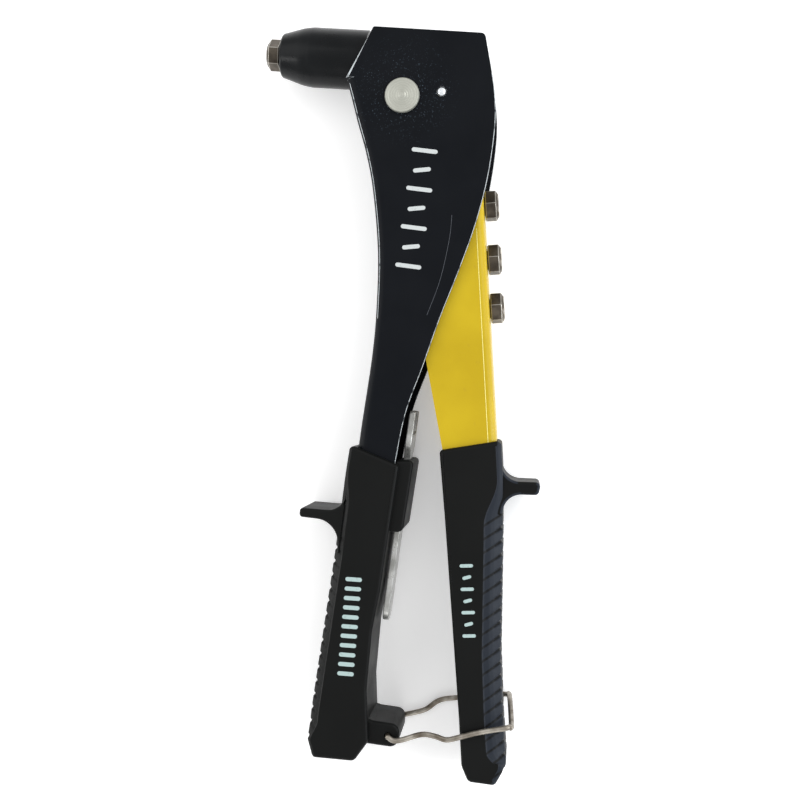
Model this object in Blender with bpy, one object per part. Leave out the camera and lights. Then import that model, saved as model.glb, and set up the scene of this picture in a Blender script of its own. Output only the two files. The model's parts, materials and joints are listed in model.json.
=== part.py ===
"""Hand riveter, lying on its side: a folded frame, a lever, the pulling mechanism, grips, wrench and bail.

The shapes are drawn in millimetres in the tool's own axes: the lever's pivot is the origin, +X runs from the
nose to the back of the head, +Y from the handle ends to the head, and +Z towards the upper side as it lies.
One empty carries everything to the model's frame, whose origin is the middle of the bounding box's underside.
"""

from math import ceil, cos, degrees, pi, radians, sin, tan

import bmesh
import bpy
from mathutils import Matrix, Vector

MM = 0.001

# Driving dimensions, in millimetres
HALF_THICKNESS = 15.0
SHEET = 1.8
FRAME_HALF = 12.9
LEVER_HALF = 10.7
LEVER_GRIP_HALF = 12.5
GAP = 0.3
CLEAR = 0.35

AXIS_Y = 15.4
NOSE_TIP_X = -53.1
BARREL_FRONT_X = -47.8
BARREL_REAR_X = -17.0
BARREL_R = 10.8
BARREL_BORE_R = 6.65
BARREL_WALL = 4.0
GUARD_TIP_X = 61.3
HANDLE_END_Y = -242.7

PIN_R = 3.5
PIN_HEAD_R = 6.25
STOP_PIN_R = 1.5
STOP_PIN_AT = (13.9, 2.4)

ARM_REACH = 15.3
ARM_TILT = 20.0
ARM_TIP_R = 2.5
LOBE_R = 8.2
PLATE_FRONT_X = ARM_REACH * sin(radians(ARM_TILT)) + ARM_TIP_R + 0.35
PLATE_THICK = 3.0
SEAT_FRONT_X = 25.2

HEX_R = 5.0
HEX_LENGTH = 5.0
SHANK_R = 3.5
FITTED_BORE_R = 1.7
SPARE_BORES_R = (1.3, 2.05, 2.5)
SPARE_Y = (-35.4, -54.9, -72.5)
FITTED_ROLL = 15.0
SPARE_ROLL = 30.0

CASE_FRONT_X = -32.4
CASE_REAR_X = -4.0
CASE_R = 6.3
CONE_MOUTH_R = 3.1
CONE_ANGLE = 10.0
CASE_BORE_R = 5.2
JAW_LENGTH = 9.0
TUBE_R = 4.4
TUBE_NECK_R = 3.6
MANDREL_R = 2.0

WRENCH_AT = (11.9, -112.0)
WRENCH_THICK = 2.3
WRENCH_TILT = 2.8
WRENCH_LENGTH = 78.0
WRENCH_HEAD_HALF = 8.2
WRENCH_SHANK_HALF = 5.7
WRENCH_JAW_HALF = 4.95

BAIL_AT = (14.6, -229.3)
BAIL_WIRE_R = 1.05
BAIL_SIDE_Z = 13.9


# Outlines


def arc(centre, radius, start, end, steps):
    """Points on an arc, with the angles in degrees."""
    turns = (radians(start + (end - start) * i / steps) for i in range(steps + 1))
    return [(centre[0] + radius * cos(a), centre[1] + radius * sin(a)) for a in turns]


def rounded(corners):
    """An outline from (x, y, radius) corners, each radius made with a short arc."""
    points = []
    count = len(corners)
    for i, (x, y, radius) in enumerate(corners):
        here = Vector((x, y))
        before = (Vector(corners[i - 1][:2]) - here).normalized()
        after = (Vector(corners[(i + 1) % count][:2]) - here).normalized()
        half = before.angle(after) / 2
        if radius == 0 or half > radians(88):
            points.append((x, y))
            continue
        middle = here + (before + after).normalized() * radius / sin(half)
        first = here + before * radius / tan(half) - middle
        last = here + after * radius / tan(half) - middle
        sweep = first.angle_signed(last)
        steps = max(2, ceil(abs(degrees(sweep)) / 22))
        for k in range(steps + 1):
            points.append(tuple(middle + Matrix.Rotation(-sweep * k / steps, 2) @ first))
    return points


def through(points, steps):
    """A smooth open curve through the points."""
    ends = [points[0], *points, points[-1]]
    curve = []
    for i in range(len(points) - 1):
        a, b, c, d = (Vector(p) for p in ends[i : i + 4])
        for k in range(steps):
            t = k / steps
            spot = 2 * b + (c - a) * t + (2 * a - 5 * b + 4 * c - d) * t**2 + (3 * b - a - 3 * c + d) * t**3
            curve.append(tuple(spot / 2))
    return [*curve, tuple(points[-1])]


# Solids


def prism(points, low, high, rim=0.0, rims=None, steps=3):
    """The outline in X and Y from low to high in Z; the rims listed by point number, or all, are rounded."""
    bm = bmesh.new()
    count = len(points)
    rings = [[bm.verts.new((x * MM, y * MM, z * MM)) for x, y in points] for z in (low, high)]
    bm.faces.new(rings[0])
    bm.faces.new(rings[1])
    for i in range(count):
        j = (i + 1) % count
        bm.faces.new((rings[0][i], rings[0][j], rings[1][j], rings[1][i]))
    bmesh.ops.recalc_face_normals(bm, faces=bm.faces)
    if rim:
        chosen = range(count) if rims is None else rims
        edges = [bm.edges.get((ring[i], ring[(i + 1) % count])) for ring in rings for i in chosen]
        bmesh.ops.bevel(bm, geom=edges, offset=rim * MM, segments=steps, profile=0.5, affect="EDGES")
    return bm


def turned(profile, sides=32, start=0.0, end=360.0):
    """The (x, radius) profile turned about the X axis; a third value "hex" makes that ring a hexagon.

    A profile that starts and ends on the axis is solid, any other closes on itself round a bore.
    """
    bm = bmesh.new()
    whole = end - start >= 360
    places = sides if whole else sides + 1
    rings = []
    for x, radius, *shape in profile:
        ring = []
        for k in range(places):
            a = radians(start + (end - start) * k / sides)
            r = radius / cos((a % (pi / 3)) - pi / 6) if shape else radius
            ring.append(bm.verts.new((x * MM, r * cos(a) * MM, r * sin(a) * MM)))
            if radius == 0:
                ring = ring * places
                break
        rings.append(ring)
    bored = profile[0][1] != 0
    for i in range(len(rings) if bored else len(rings) - 1):
        one, two = rings[i], rings[(i + 1) % len(rings)]
        for k in range(sides):
            n = (k + 1) % places
            corners = dict.fromkeys((one[k], one[n], two[n], two[k]))
            bm.faces.new(corners)
    if not whole:
        bm.faces.new([ring[0] for ring in rings])
        bm.faces.new([ring[-1] for ring in rings])
    bmesh.ops.recalc_face_normals(bm, faces=bm.faces)
    return bm


def on_axis(bm):
    """Moves a piece turned about X up to the barrel's axis."""
    bmesh.ops.translate(bm, vec=(0, AXIS_Y * MM, 0), verts=bm.verts)
    return bm


def across(bm, x=0.0, y=0.0):
    """Stands a piece turned about X up along Z at a place."""
    bmesh.ops.transform(bm, matrix=Matrix.Rotation(-pi / 2, 4, "Y"), verts=bm.verts)
    bmesh.ops.translate(bm, vec=(x * MM, y * MM, 0), verts=bm.verts)
    return bm


def helix_x(radius, start, end, turns, per_turn=12):
    """Points of a coil about the barrel's axis."""
    count = turns * per_turn
    angles = (2 * pi * turns * i / count for i in range(count + 1))
    return [
        (start + (end - start) * i / count, AXIS_Y + radius * cos(a), radius * sin(a))
        for i, a in enumerate(angles)
    ]


# Materials and nodes


def material(name, colour, roughness, metallic):
    made = bpy.data.materials.new(name)
    made.use_nodes = True
    shader = made.node_tree.nodes["Principled BSDF"]
    shader.inputs["Base Color"].default_value = (*colour, 1.0)
    shader.inputs["Roughness"].default_value = roughness
    shader.inputs["Metallic"].default_value = metallic
    return made


def node(name, bm, finish, root, origin=(0.0, 0.0)):
    """A named piece whose own origin stands on its joint's axis."""
    bmesh.ops.translate(bm, vec=(-origin[0] * MM, -origin[1] * MM, 0), verts=bm.verts)
    mesh = bpy.data.meshes.new(name)
    bm.to_mesh(mesh)
    bm.free()
    mesh.shade_smooth()
    mesh.set_sharp_from_angle(angle=radians(32))
    mesh.materials.append(finish)
    piece = bpy.data.objects.new(name, mesh)
    piece.location = (origin[0] * MM, origin[1] * MM, 0)
    piece.parent = root
    bpy.context.collection.objects.link(piece)
    return piece


def wire(name, points, radius, finish, root, origin=(0.0, 0.0), round_steps=2):
    """A round wire along the points, with closed ends."""
    curve = bpy.data.curves.new(name, "CURVE")
    curve.dimensions = "3D"
    curve.bevel_depth = radius * MM
    curve.bevel_resolution = round_steps
    curve.use_fill_caps = True
    line = curve.splines.new("POLY")
    line.points.add(len(points) - 1)
    for spot, (x, y, z) in zip(line.points, points):
        spot.co = ((x - origin[0]) * MM, (y - origin[1]) * MM, z * MM, 1)
    curve.materials.append(finish)
    piece = bpy.data.objects.new(name, curve)
    piece.location = (origin[0] * MM, origin[1] * MM, 0)
    piece.parent = root
    bpy.context.collection.objects.link(piece)
    return piece


def shape(piece, bm, root, operation="DIFFERENCE", solver="MANIFOLD"):
    """Cuts the shape out of a piece, or joins it on. EXACT fails on rounded rims round a curved outline."""
    tool = node(f"{piece.name}_tool_{len(piece.modifiers)}", bm, piece.data.materials[0], root)
    tool.hide_render = True
    tool.display_type = "WIRE"
    step = piece.modifiers.new(operation.title(), "BOOLEAN")
    step.operation = operation
    step.solver = solver
    step.object = tool


# Frame

FRAME_END_Y = -228.5
WEB = [
    (-21.2, 5.6),
    (-18.9, -0.7),
    (-15.8, -9.7),
    (-11.8, -20.5),
    (-8.6, -31.7),
    (-5.5, -47.9),
    (-3.8, -62.0),
    (-3.0, -80.0),
    (-3.2, -94.0),
    (-4.1, -108.6),
    (-5.2, -126.5),
    (-6.6, -165.0),
    (-8.6, FRAME_END_Y),
]
CHEEK_EDGE = [
    (3.0, FRAME_END_Y),
    (3.2, -205.0),
    (4.4, -180.0),
    (6.0, -160.0),
    (8.2, -138.0),
    (10.8, -114.0),
    (15.6, -96.2),
    (20.2, -78.5),
    (25.2, -62.0),
    (29.9, -44.5),
    (32.9, -27.0),
    (33.9, -9.0),
    (32.8, 3.0),
    (30.4, 13.3),
]


def frame_channel(finish, root):
    """The folded channel: two cheeks and a web, open along its back."""
    web = through(WEB, 2)
    head = rounded([(*CHEEK_EDGE[-1], 0), (27.6, 24.1, 2.0), (-12.6, 24.3, 1.0), (*WEB[0], 0)])[1:-1]
    outline = web + through(CHEEK_EDGE, 2) + head
    piece = node(
        "frame_channel",
        prism(outline, -FRAME_HALF, FRAME_HALF, rim=3.0, rims=range(1, len(web) - 1)),
        finish,
        root,
    )
    inside = [(x + SHEET, y) for x, y in web if y < 2.0]
    hollow = [(-40, 2.5), (inside[0][0] - 0.6, 2.5), *inside]
    hollow += [(inside[-1][0], -240), (60, -240), (60, 40), (-40, 40)]
    inner = FRAME_HALF - SHEET
    shape(piece, prism(hollow, -inner, inner, rim=1.3, rims=range(2, len(inside) + 1), steps=2), root)
    shape(piece, across(turned([(-20, 0), (-20, PIN_R + GAP), (20, PIN_R + GAP), (20, 0)])), root)
    stop_hole = [(-20, 0), (-20, STOP_PIN_R + GAP), (20, STOP_PIN_R + GAP), (20, 0)]
    shape(piece, across(turned(stop_hole, 16), *STOP_PIN_AT), root)


def head_block(finish, root):
    outline = [(-9.0, 4.8), (-9.0, 24.0), (-12.0, 24.0), (-16.7, 13.5), (-16.7, 4.8)]
    half = FRAME_HALF - SHEET - GAP
    piece = node("head_block", prism(outline, -half, half), finish, root)
    hole = BARREL_BORE_R + 1.65
    shape(piece, on_axis(turned([(-20, 0), (-20, hole), (0, hole), (0, 0)])), root)


def barrel(finish, root):
    spigot = BARREL_BORE_R + 1.35
    mouth = SHANK_R + GAP
    profile = [
        (BARREL_FRONT_X, mouth),
        (BARREL_FRONT_X, 5.7),
        (BARREL_FRONT_X + 0.5, 7.0),
        (BARREL_FRONT_X + 1.5, 8.05),
        (BARREL_FRONT_X + 3.8, 9.5),
        (BARREL_FRONT_X + 5.8, 10.1),
        (BARREL_FRONT_X + 11.3, BARREL_R),
        (BARREL_REAR_X, BARREL_R),
        (BARREL_REAR_X, spigot),
        (-9.3, spigot),
        (-9.3, BARREL_BORE_R),
        (BARREL_FRONT_X + BARREL_WALL, BARREL_BORE_R),
        (BARREL_FRONT_X + BARREL_WALL, mouth),
    ]
    node("barrel", on_axis(turned(profile, 40)), finish, root)


def nosepiece(bore, roll):
    """A nosepiece along +X, rolled by some degrees: its hexagon's inner face is at 0, its tip outwards."""
    profile = [
        (HEX_LENGTH, bore + 0.4),
        (HEX_LENGTH, HEX_R - 0.7),
        (HEX_LENGTH - 0.9, HEX_R, "hex"),
        (0, HEX_R, "hex"),
        (0, SHANK_R),
        (-4.4, SHANK_R),
        (-4.9, 2.7),
        (-7.0, 2.7),
        (-7.9, bore + 0.3),
        (-7.9, bore),
        (HEX_LENGTH - 0.5, bore),
    ]
    bm = turned(profile, 24)
    bmesh.ops.rotate(bm, cent=(0, 0, 0), matrix=Matrix.Rotation(radians(roll), 3, "X"), verts=bm.verts)
    return bm


def fitted_nosepiece(finish, root):
    bm = nosepiece(FITTED_BORE_R, -FITTED_ROLL)
    bmesh.ops.rotate(bm, cent=(0, 0, 0), matrix=Matrix.Rotation(pi, 3, "Z"), verts=bm.verts)
    bmesh.ops.translate(bm, vec=((NOSE_TIP_X + HEX_LENGTH) * MM, 0, 0), verts=bm.verts)
    node("nosepiece_fitted", on_axis(bm), finish, root)


def pins(zinc, steel, root):
    """The riveted pivot pin with its collar and spacer, and the small stop pin."""
    face = FRAME_HALF + GAP
    top = HALF_THICKNESS - 0.1
    pin = [(-top, 0), (-top, PIN_R), (face, PIN_R), (face, PIN_HEAD_R), (face + 0.9, PIN_HEAD_R)]
    crown = [(top - 0.25, PIN_HEAD_R - 0.9), (top - 0.1, 1.6), (top, 1.2), (top, 0)]
    node("pivot_pin", across(turned(pin + crown, 40)), zinc, root)
    bore = PIN_R + GAP
    collar = [(-top, bore), (-top, PIN_HEAD_R - 0.9), (-top + 0.7, PIN_HEAD_R)]
    collar += [(-face, PIN_HEAD_R), (-face, bore)]
    node("pivot_collar", across(turned(collar)), zinc, root)
    half = LEVER_HALF - SHEET - GAP
    spacer = [(-half, bore), (-half, 5.0), (half, 5.0), (half, bore)]
    node("pivot_spacer", across(turned(spacer)), steel, root)
    end = FRAME_HALF + 0.25
    stop = [(-end, 0), (-end, STOP_PIN_R), (end, STOP_PIN_R), (end, 0)]
    node("stop_pin", across(turned(stop, 20), *STOP_PIN_AT), steel, root)


def rear_seat(finish, root):
    half = FRAME_HALF - SHEET - GAP
    seat_back_x = SEAT_FRONT_X + 2.2
    outline = [(SEAT_FRONT_X, 8.0), (seat_back_x, 8.0), (seat_back_x, 21.6), (SEAT_FRONT_X, 21.6)]
    piece = node("rear_seat", prism(outline, -half, half), finish, root)
    shape(piece, on_axis(turned([(20, 0), (20, 4.6), (40, 4.6), (40, 0)], 24)), root)


# Pulling mechanism


def jaw_case(finish, root):
    cone_end = (CASE_BORE_R - CONE_MOUTH_R) / tan(radians(CONE_ANGLE))
    profile = [
        (CASE_FRONT_X, CONE_MOUTH_R),
        (CASE_FRONT_X, CASE_R - 1.2),
        (CASE_FRONT_X + 1.6, CASE_R),
        (CASE_REAR_X, CASE_R),
        (CASE_REAR_X, CASE_BORE_R),
        (CASE_FRONT_X + cone_end, CASE_BORE_R),
    ]
    node("jaw_case", on_axis(turned(profile)), finish, root)


def jaws(finish, root):
    """Three jaws, 120 degrees apart, nearly closed."""
    front = CASE_FRONT_X + 0.5
    slope = tan(radians(CONE_ANGLE))
    front_r = CONE_MOUTH_R + 0.5 * slope - 0.35
    profile = [
        (front, 1.2),
        (front, front_r),
        (front + JAW_LENGTH, front_r + JAW_LENGTH * slope),
        (front + JAW_LENGTH, 2.0),
        (front + JAW_LENGTH - 1.0, 0.8),
        (front + 0.6, 0.8),
    ]
    for i in range(3):
        middle = 120.0 * i
        bm = turned(profile, 8, middle - 50, middle + 50)
        node(f"jaw_{i + 1}", on_axis(bm), finish, root)


def jaw_backing(steel, spring, root):
    """The pusher behind the jaws, and its spring."""
    front = CASE_FRONT_X + 0.5 + JAW_LENGTH + GAP
    profile = [
        (front, MANDREL_R),
        (front, 4.0),
        (front + 0.8, 4.8),
        (front + 3.0, 4.8),
        (front + 3.0, 3.3),
        (front + 6.6, 3.3),
        (front + 6.6, MANDREL_R),
    ]
    node("jaw_pusher", on_axis(turned(profile, 28)), steel, root)
    wire_r = 0.35
    first = front + 3.0 + GAP + wire_r
    wire("jaw_spring", helix_x(4.1, first, first + 6.0, 5), wire_r, spring, root, round_steps=1)


def pull_train(steel, root):
    """The tube behind the jaw case, its lock nut, and the plate that the lever's arms push."""
    plate_back = PLATE_FRONT_X + PLATE_THICK
    shoulder = PLATE_FRONT_X - GAP
    tube = [
        (-7.2, MANDREL_R),
        (-7.2, TUBE_R),
        (shoulder, TUBE_R),
        (shoulder, TUBE_NECK_R),
        (20.0, TUBE_NECK_R),
        (20.0, MANDREL_R),
    ]
    node("pull_tube", on_axis(turned(tube, 28)), steel, root)
    nut_bore = TUBE_R + GAP
    nut_front = CASE_REAR_X + GAP
    nut_flat = CASE_R * cos(radians(30))
    nut = [
        (nut_front, nut_bore),
        (nut_front, nut_flat, "hex"),
        (nut_front + 3.0, nut_flat, "hex"),
        (nut_front + 3.0, nut_bore),
    ]
    node("jaw_lock_nut", on_axis(turned(nut, 24)), steel, root)
    face = [(7.0, -7.8), (7.0, 7.8), (2.9, 8.2), (2.9, 10.4), (-2.6, 10.4), (-2.6, 8.2), (-7.0, 7.8)]
    face += [(-7.0, -7.8), (-2.6, -8.2), (-2.6, -10.4), (2.9, -10.4), (2.9, -8.2)]
    bm = prism(face, PLATE_FRONT_X, plate_back)
    turn = Matrix(((0, 0, 1, 0), (1, 0, 0, 0), (0, 1, 0, 0), (0, 0, 0, 1)))
    bmesh.ops.transform(bm, matrix=turn, verts=bm.verts)
    piece = node("pull_plate", on_axis(bm), steel, root)
    hole = TUBE_NECK_R + GAP
    shape(piece, on_axis(turned([(0, 0), (0, hole), (20, hole), (20, 0)], 28)), root)


def return_spring(finish, root):
    wire_r = 0.65
    first = PLATE_FRONT_X + PLATE_THICK + 0.6 + wire_r
    last = SEAT_FRONT_X - GAP - wire_r
    wire("return_spring", helix_x(5.9, first, last, 6), wire_r, finish, root, round_steps=1)


# Lever

LEVER_END_Y = -232.0
LEVER_BACK = [
    (30.7, -26.0),
    (44.3, -121.5),
    (46.2, -148.0),
    (48.7, -191.0),
    (50.6, -221.0),
    (51.0, LEVER_END_Y),
]
LEVER_FRONT = [
    (43.2, LEVER_END_Y),
    (42.4, -221.0),
    (38.4, -193.0),
    (31.6, -150.0),
    (25.5, -126.2),
    (16.6, -94.0),
    (-3.5, -32.0),
]


def lever_outline():
    """The cheek from the fork arm's tip, round the pivot lobe and down the handle."""
    tip = (ARM_REACH * sin(radians(ARM_TILT)), ARM_REACH * cos(radians(ARM_TILT)))
    along = Vector((sin(radians(ARM_TILT)), cos(radians(ARM_TILT))))
    beside = Vector((along.y, -along.x))
    neck_right = along * 11.0 + beside * 1.3
    neck_left = along * 11.5 - beside * 2.9
    points = [tuple(neck_left)]
    points += arc(tip, ARM_TIP_R, 195 - ARM_TILT, -35 - ARM_TILT, 10)
    points += [tuple(neck_right), tuple(along * 8.6 + beside * 1.3)]
    points += [tuple(along * 6.6 + beside * 4.2)]
    points += arc((0, 0), 19.5, 27, -46, 7)
    points += [(26.0, -19.0), *LEVER_BACK, *LEVER_FRONT]
    points += arc((0, 0), LOBE_R, 222, 136, 6)
    return points


def lever_channel(finish, root):
    """The folded lever: a web along its back from below the head, and cheeks that end in the fork arms."""
    outline = lever_outline()
    back = outline.index(LEVER_BACK[0])
    rims = range(back, back + len(LEVER_BACK) - 1)
    piece = node("lever_channel", prism(outline, -LEVER_HALF, LEVER_HALF, rim=2.8, rims=rims), finish, root)
    inside = [(x - SHEET, y) for x, y in LEVER_BACK]
    bottom = (inside[-1][0], -250.0)
    hollow = [(60, 40), (60, -25.0), (inside[0][0] + 0.2, -25.0), *inside[:-1]]
    hollow += [bottom, (-40, -250), (-40, 40)]
    inner = LEVER_HALF - SHEET
    shape(piece, prism(hollow, -inner, inner, rim=1.1, rims=range(3, 2 + len(inside)), steps=2), root)
    shape(piece, across(turned([(-20, 0), (-20, PIN_R + GAP), (20, PIN_R + GAP), (20, 0)])), root)
    reach = Vector(STOP_PIN_AT).length
    room = STOP_PIN_R + 0.35
    slot = arc((0, 0), reach + room, -40.2, 18.8, 10) + arc((0, 0), reach - room, 18.8, -40.2, 10)
    shape(piece, prism(slot, -20, 20), root)
    seat = [(-4, 0), (-4, SHANK_R + GAP), (4, SHANK_R + GAP), (4, 0)]
    for bm in spare_places(turned(seat, 20) for _ in SPARE_Y):
        shape(piece, bm, root)


def spare_places(shapes):
    """Puts a shape drawn along +X at each spare nosepiece's seat on the lever's back."""
    top, low = (Vector(p) for p in LEVER_BACK[:2])
    lean = (low - top).angle_signed(Vector((0, -1)))
    for bm, y in zip(shapes, SPARE_Y):
        x = top.x + (low.x - top.x) * (y - top.y) / (low.y - top.y)
        bmesh.ops.rotate(bm, cent=(0, 0, 0), matrix=Matrix.Rotation(lean, 3, "Z"), verts=bm.verts)
        bmesh.ops.translate(bm, vec=(x * MM, y * MM, 0), verts=bm.verts)
        yield bm


def spare_nosepieces(finish, root):
    raised = []
    for bore in SPARE_BORES_R:
        bm = nosepiece(bore, SPARE_ROLL)
        bmesh.ops.translate(bm, vec=(GAP * MM, 0, 0), verts=bm.verts)
        raised.append(bm)
    for i, bm in enumerate(spare_places(raised)):
        node(f"nosepiece_spare_{i + 1}", bm, finish, root)


# Grips


def socket(left, right, half, end):
    """The space for a handle, from its left and right edges as they run down to its end."""
    one = [(x - CLEAR, y) for x, y in left[:-1]] + [(left[-1][0] - CLEAR, end - GAP)]
    two = [(x + CLEAR, y) for x, y in right[:-1]] + [(right[-1][0] + CLEAR, end - GAP)]
    return prism(one + two[::-1], -half - GAP, half + GAP)


def frame_grip(finish, root):
    """The fixed handle's grip, with its finger guard, the wrench's clip and the bail's boss."""
    outline = rounded(
        [
            (10.4, -131.8, 1.5),
            (-7.8, -126.0, 1.5),
            (-9.0, -149.9, 6.5),
            (-24.2, -149.9, 1.4),
            (-24.2, -153.2, 1.4),
            (-9.7, -153.6, 8.0),
            (-11.4, -182.0, 0),
            (-14.1, -223.0, 0),
            (-14.1, -232.0, 3.0),
            (-11.7, -239.6, 1.5),
            (3.4, -239.2, 2.5),
            (8.0, -231.5, 3.0),
            (5.8, -213.0, 8.0),
            (5.9, -192.0, 6.0),
            (7.6, -177.0, 0),
            (9.0, -153.0, 0),
        ]
    )
    piece = node("frame_grip", prism(outline, -HALF_THICKNESS, HALF_THICKNESS, rim=1.4), finish, root)
    clip = rounded([(6, -130.6, 0), (15.4, -129.6, 1.6), (13.6, -156.0, 2.4), (6, -156.0, 0)])
    shape(piece, prism(clip, -12.4, 12.4, rim=1.0, steps=2), root, "UNION")
    boss = rounded([(3, -224.6, 0), (18.6, -224.9, 3.2), (18.6, -233.4, 3.2), (3, -232.8, 0)])
    shape(piece, prism(boss, -12.2, 12.2, rim=1.0, steps=2), root, "UNION")
    left = [p for p in WEB if p[1] < -100]
    right = [p for p in CHEEK_EDGE[::-1] if p[1] < -100]
    shape(piece, socket(left, right, FRAME_HALF, FRAME_END_Y), root)
    slot_front, slot_back = -CLEAR, WRENCH_THICK + CLEAR
    corners = [(slot_front, -12), (slot_front, -60), (slot_back, -60), (slot_back, -12)]
    half = WRENCH_SHANK_HALF + CLEAR
    shape(piece, beside_grip(prism(corners, -half, half)), root)
    bore = BAIL_WIRE_R + GAP
    for side in (-1, 1):
        hole = [(side * 6.5, 0), (side * 6.5, bore), (side * 20, bore), (side * 20, 0)]
        shape(piece, across(turned(hole, 16), *BAIL_AT), root)


def lever_grip(finish, root):
    outline = rounded(
        [
            (24.1, -125.2, 1.5),
            (28.3, -150.0, 0),
            (33.2, -181.0, 0),
            (39.4, -220.0, 0),
            (41.8, -237.0, 2.0),
            (44.6, HANDLE_END_Y + 0.2, 2.5),
            (54.3, HANDLE_END_Y, 2.0),
            (57.7, -235.0, 3.0),
            (55.2, -219.0, 0),
            (52.4, -196.0, 0),
            (49.6, -156.0, 0),
            (48.8, -138.6, 6.5),
            (60.7, -137.6, 1.6),
            (GUARD_TIP_X, -133.0, 1.6),
            (47.6, -133.9, 6.5),
            (45.8, -119.8, 1.5),
        ]
    )
    piece = node("lever_grip", prism(outline, -LEVER_GRIP_HALF, LEVER_GRIP_HALF, rim=1.4), finish, root)
    left = [p for p in LEVER_FRONT[::-1] if p[1] < -90]
    right = [(43.6, -112.0)] + [p for p in LEVER_BACK if p[1] < -90]
    shape(piece, socket(left, right, LEVER_HALF, LEVER_END_Y), root)


# Wrench and bail


def beside_grip(bm):
    """Tilts a piece drawn below the origin along -Y to the wrench's place beside the grip."""
    tilt = Matrix.Rotation(radians(-WRENCH_TILT), 3, "Z")
    bmesh.ops.rotate(bm, cent=(0, 0, 0), matrix=tilt, verts=bm.verts)
    bmesh.ops.translate(bm, vec=(WRENCH_AT[0] * MM, WRENCH_AT[1] * MM, 0), verts=bm.verts)
    return bm


def wrench(finish, root):
    """The stamped wrench stands on edge, so its face is drawn in Y and Z and turned into place."""
    jaw, head, shank = WRENCH_JAW_HALF, WRENCH_HEAD_HALF, WRENCH_SHANK_HALF
    face = rounded(
        [
            (0, head - 1.2, 1.2),
            (-12.5, head, 3.0),
            (-17.5, shank, 3.0),
            (-WRENCH_LENGTH, shank, 5.0),
            (-WRENCH_LENGTH, -shank, 5.0),
            (-17.5, -shank, 3.0),
            (-12.5, -head, 3.0),
            (0, -head + 1.2, 1.2),
            (0, -jaw, 0.6),
            (-9.0, -jaw, 1.5),
            (-9.0, jaw, 1.5),
            (0, jaw, 0.6),
        ]
    )
    bm = prism(face, 0.0, WRENCH_THICK, rim=0.4, steps=1)
    turn = Matrix(((0, 0, 1, 0), (1, 0, 0, 0), (0, 1, 0, 0), (0, 0, 0, 1)))
    bmesh.ops.transform(bm, matrix=turn, verts=bm.verts)
    node("wrench", beside_grip(bm), finish, root)


# The bail's two legs differ, so that its loop is a little skewed. Their points are measured from its pivot.
UPPER_LEG = [(2.4, -0.9), (5.6, -0.2), (12.2, 2.5), (17.0, 2.4)]
UPPER_LEG += [(21.2, 1.6), (25.8, 3.1), (31.4, 5.2), (37.0, 6.9)]
LOWER_LEG = [(3.4, 1.0), (7.1, 2.2), (11.4, 4.0), (15.0, 7.2)]
LOWER_LEG += [(17.8, 8.6), (22.2, 9.6), (30.0, 11.2), (36.0, 12.4)]
UPPER_END = (43.7, 8.7)
LOWER_END = (42.4, 13.4)


def bail_leg(points, end, side):
    """One leg, from inside its boss hole to the start of the crossbar."""
    leg = [(0.0, 0.0, side * 6.9), (0.0, 0.0, side * (BAIL_SIDE_Z - 1.2))]
    leg += [(0.5, -0.1, side * (BAIL_SIDE_Z - 0.3))]
    leg += [(x, y, side * BAIL_SIDE_Z) for x, y in points]
    near_end = Vector(points[-1]).lerp(Vector(end), 0.62)
    leg += [(*near_end, side * BAIL_SIDE_Z), (*near_end.lerp(Vector(end), 0.7), side * (BAIL_SIDE_Z - 0.9))]
    return leg + [(*end, side * (BAIL_SIDE_Z - 3.0))]


def bail_route():
    """The wire from one boss hole, out along a kinked leg, across, and back to the other hole."""
    route = bail_leg(LOWER_LEG, LOWER_END, -1) + bail_leg(UPPER_LEG, UPPER_END, 1)[::-1]
    return [(BAIL_AT[0] + x, BAIL_AT[1] + y, z) for x, y, z in route]


def bail(finish, root):
    wire("bail", bail_route(), BAIL_WIRE_R, finish, root, origin=BAIL_AT)


def main():
    for old in list(bpy.data.objects):
        bpy.data.objects.remove(old)
    root = bpy.data.objects.new("riveter", None)
    middle_x = (NOSE_TIP_X + GUARD_TIP_X) / 2
    middle_y = (AXIS_Y + BARREL_R + HANDLE_END_Y) / 2
    root.location = (-middle_x * MM, -middle_y * MM, HALF_THICKNESS * MM)
    bpy.context.collection.objects.link(root)

    black_paint = material("black_paint", (0.016, 0.019, 0.024), 0.38, 0.0)
    yellow_paint = material("yellow_paint", (0.62, 0.42, 0.012), 0.4, 0.0)
    gloss_black = material("gloss_black", (0.012, 0.013, 0.015), 0.25, 0.2)
    plastic = material("black_plastic", (0.018, 0.02, 0.021), 0.5, 0.0)
    dark_steel = material("dark_steel", (0.07, 0.055, 0.045), 0.38, 0.9)
    zinc = material("zinc", (0.45, 0.46, 0.4), 0.35, 0.9)
    steel = material("steel", (0.5, 0.5, 0.5), 0.35, 1.0)
    cast = material("cast_alloy", (0.12, 0.12, 0.13), 0.55, 0.8)

    frame_channel(black_paint, root)
    head_block(cast, root)
    barrel(gloss_black, root)
    fitted_nosepiece(dark_steel, root)
    pins(zinc, steel, root)
    rear_seat(steel, root)
    jaw_case(steel, root)
    jaws(dark_steel, root)
    jaw_backing(steel, steel, root)
    pull_train(steel, root)
    return_spring(steel, root)
    lever_channel(yellow_paint, root)
    spare_nosepieces(dark_steel, root)
    frame_grip(plastic, root)
    lever_grip(plastic, root)
    wrench(zinc, root)
    bail(zinc, root)


main()
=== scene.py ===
"""The hand riveter's looks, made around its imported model.

Shapes are drawn in millimetres in the tool's own axes, as in the model: the lever's pivot is the origin,
+X runs from the nose to the back of the head, +Y from the handle ends to the head, and +Z towards the side
that shows.
"""

import json
from math import ceil, cos, degrees, pi, radians, sin

import bmesh
import bpy
from mathutils import Matrix, Vector


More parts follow.
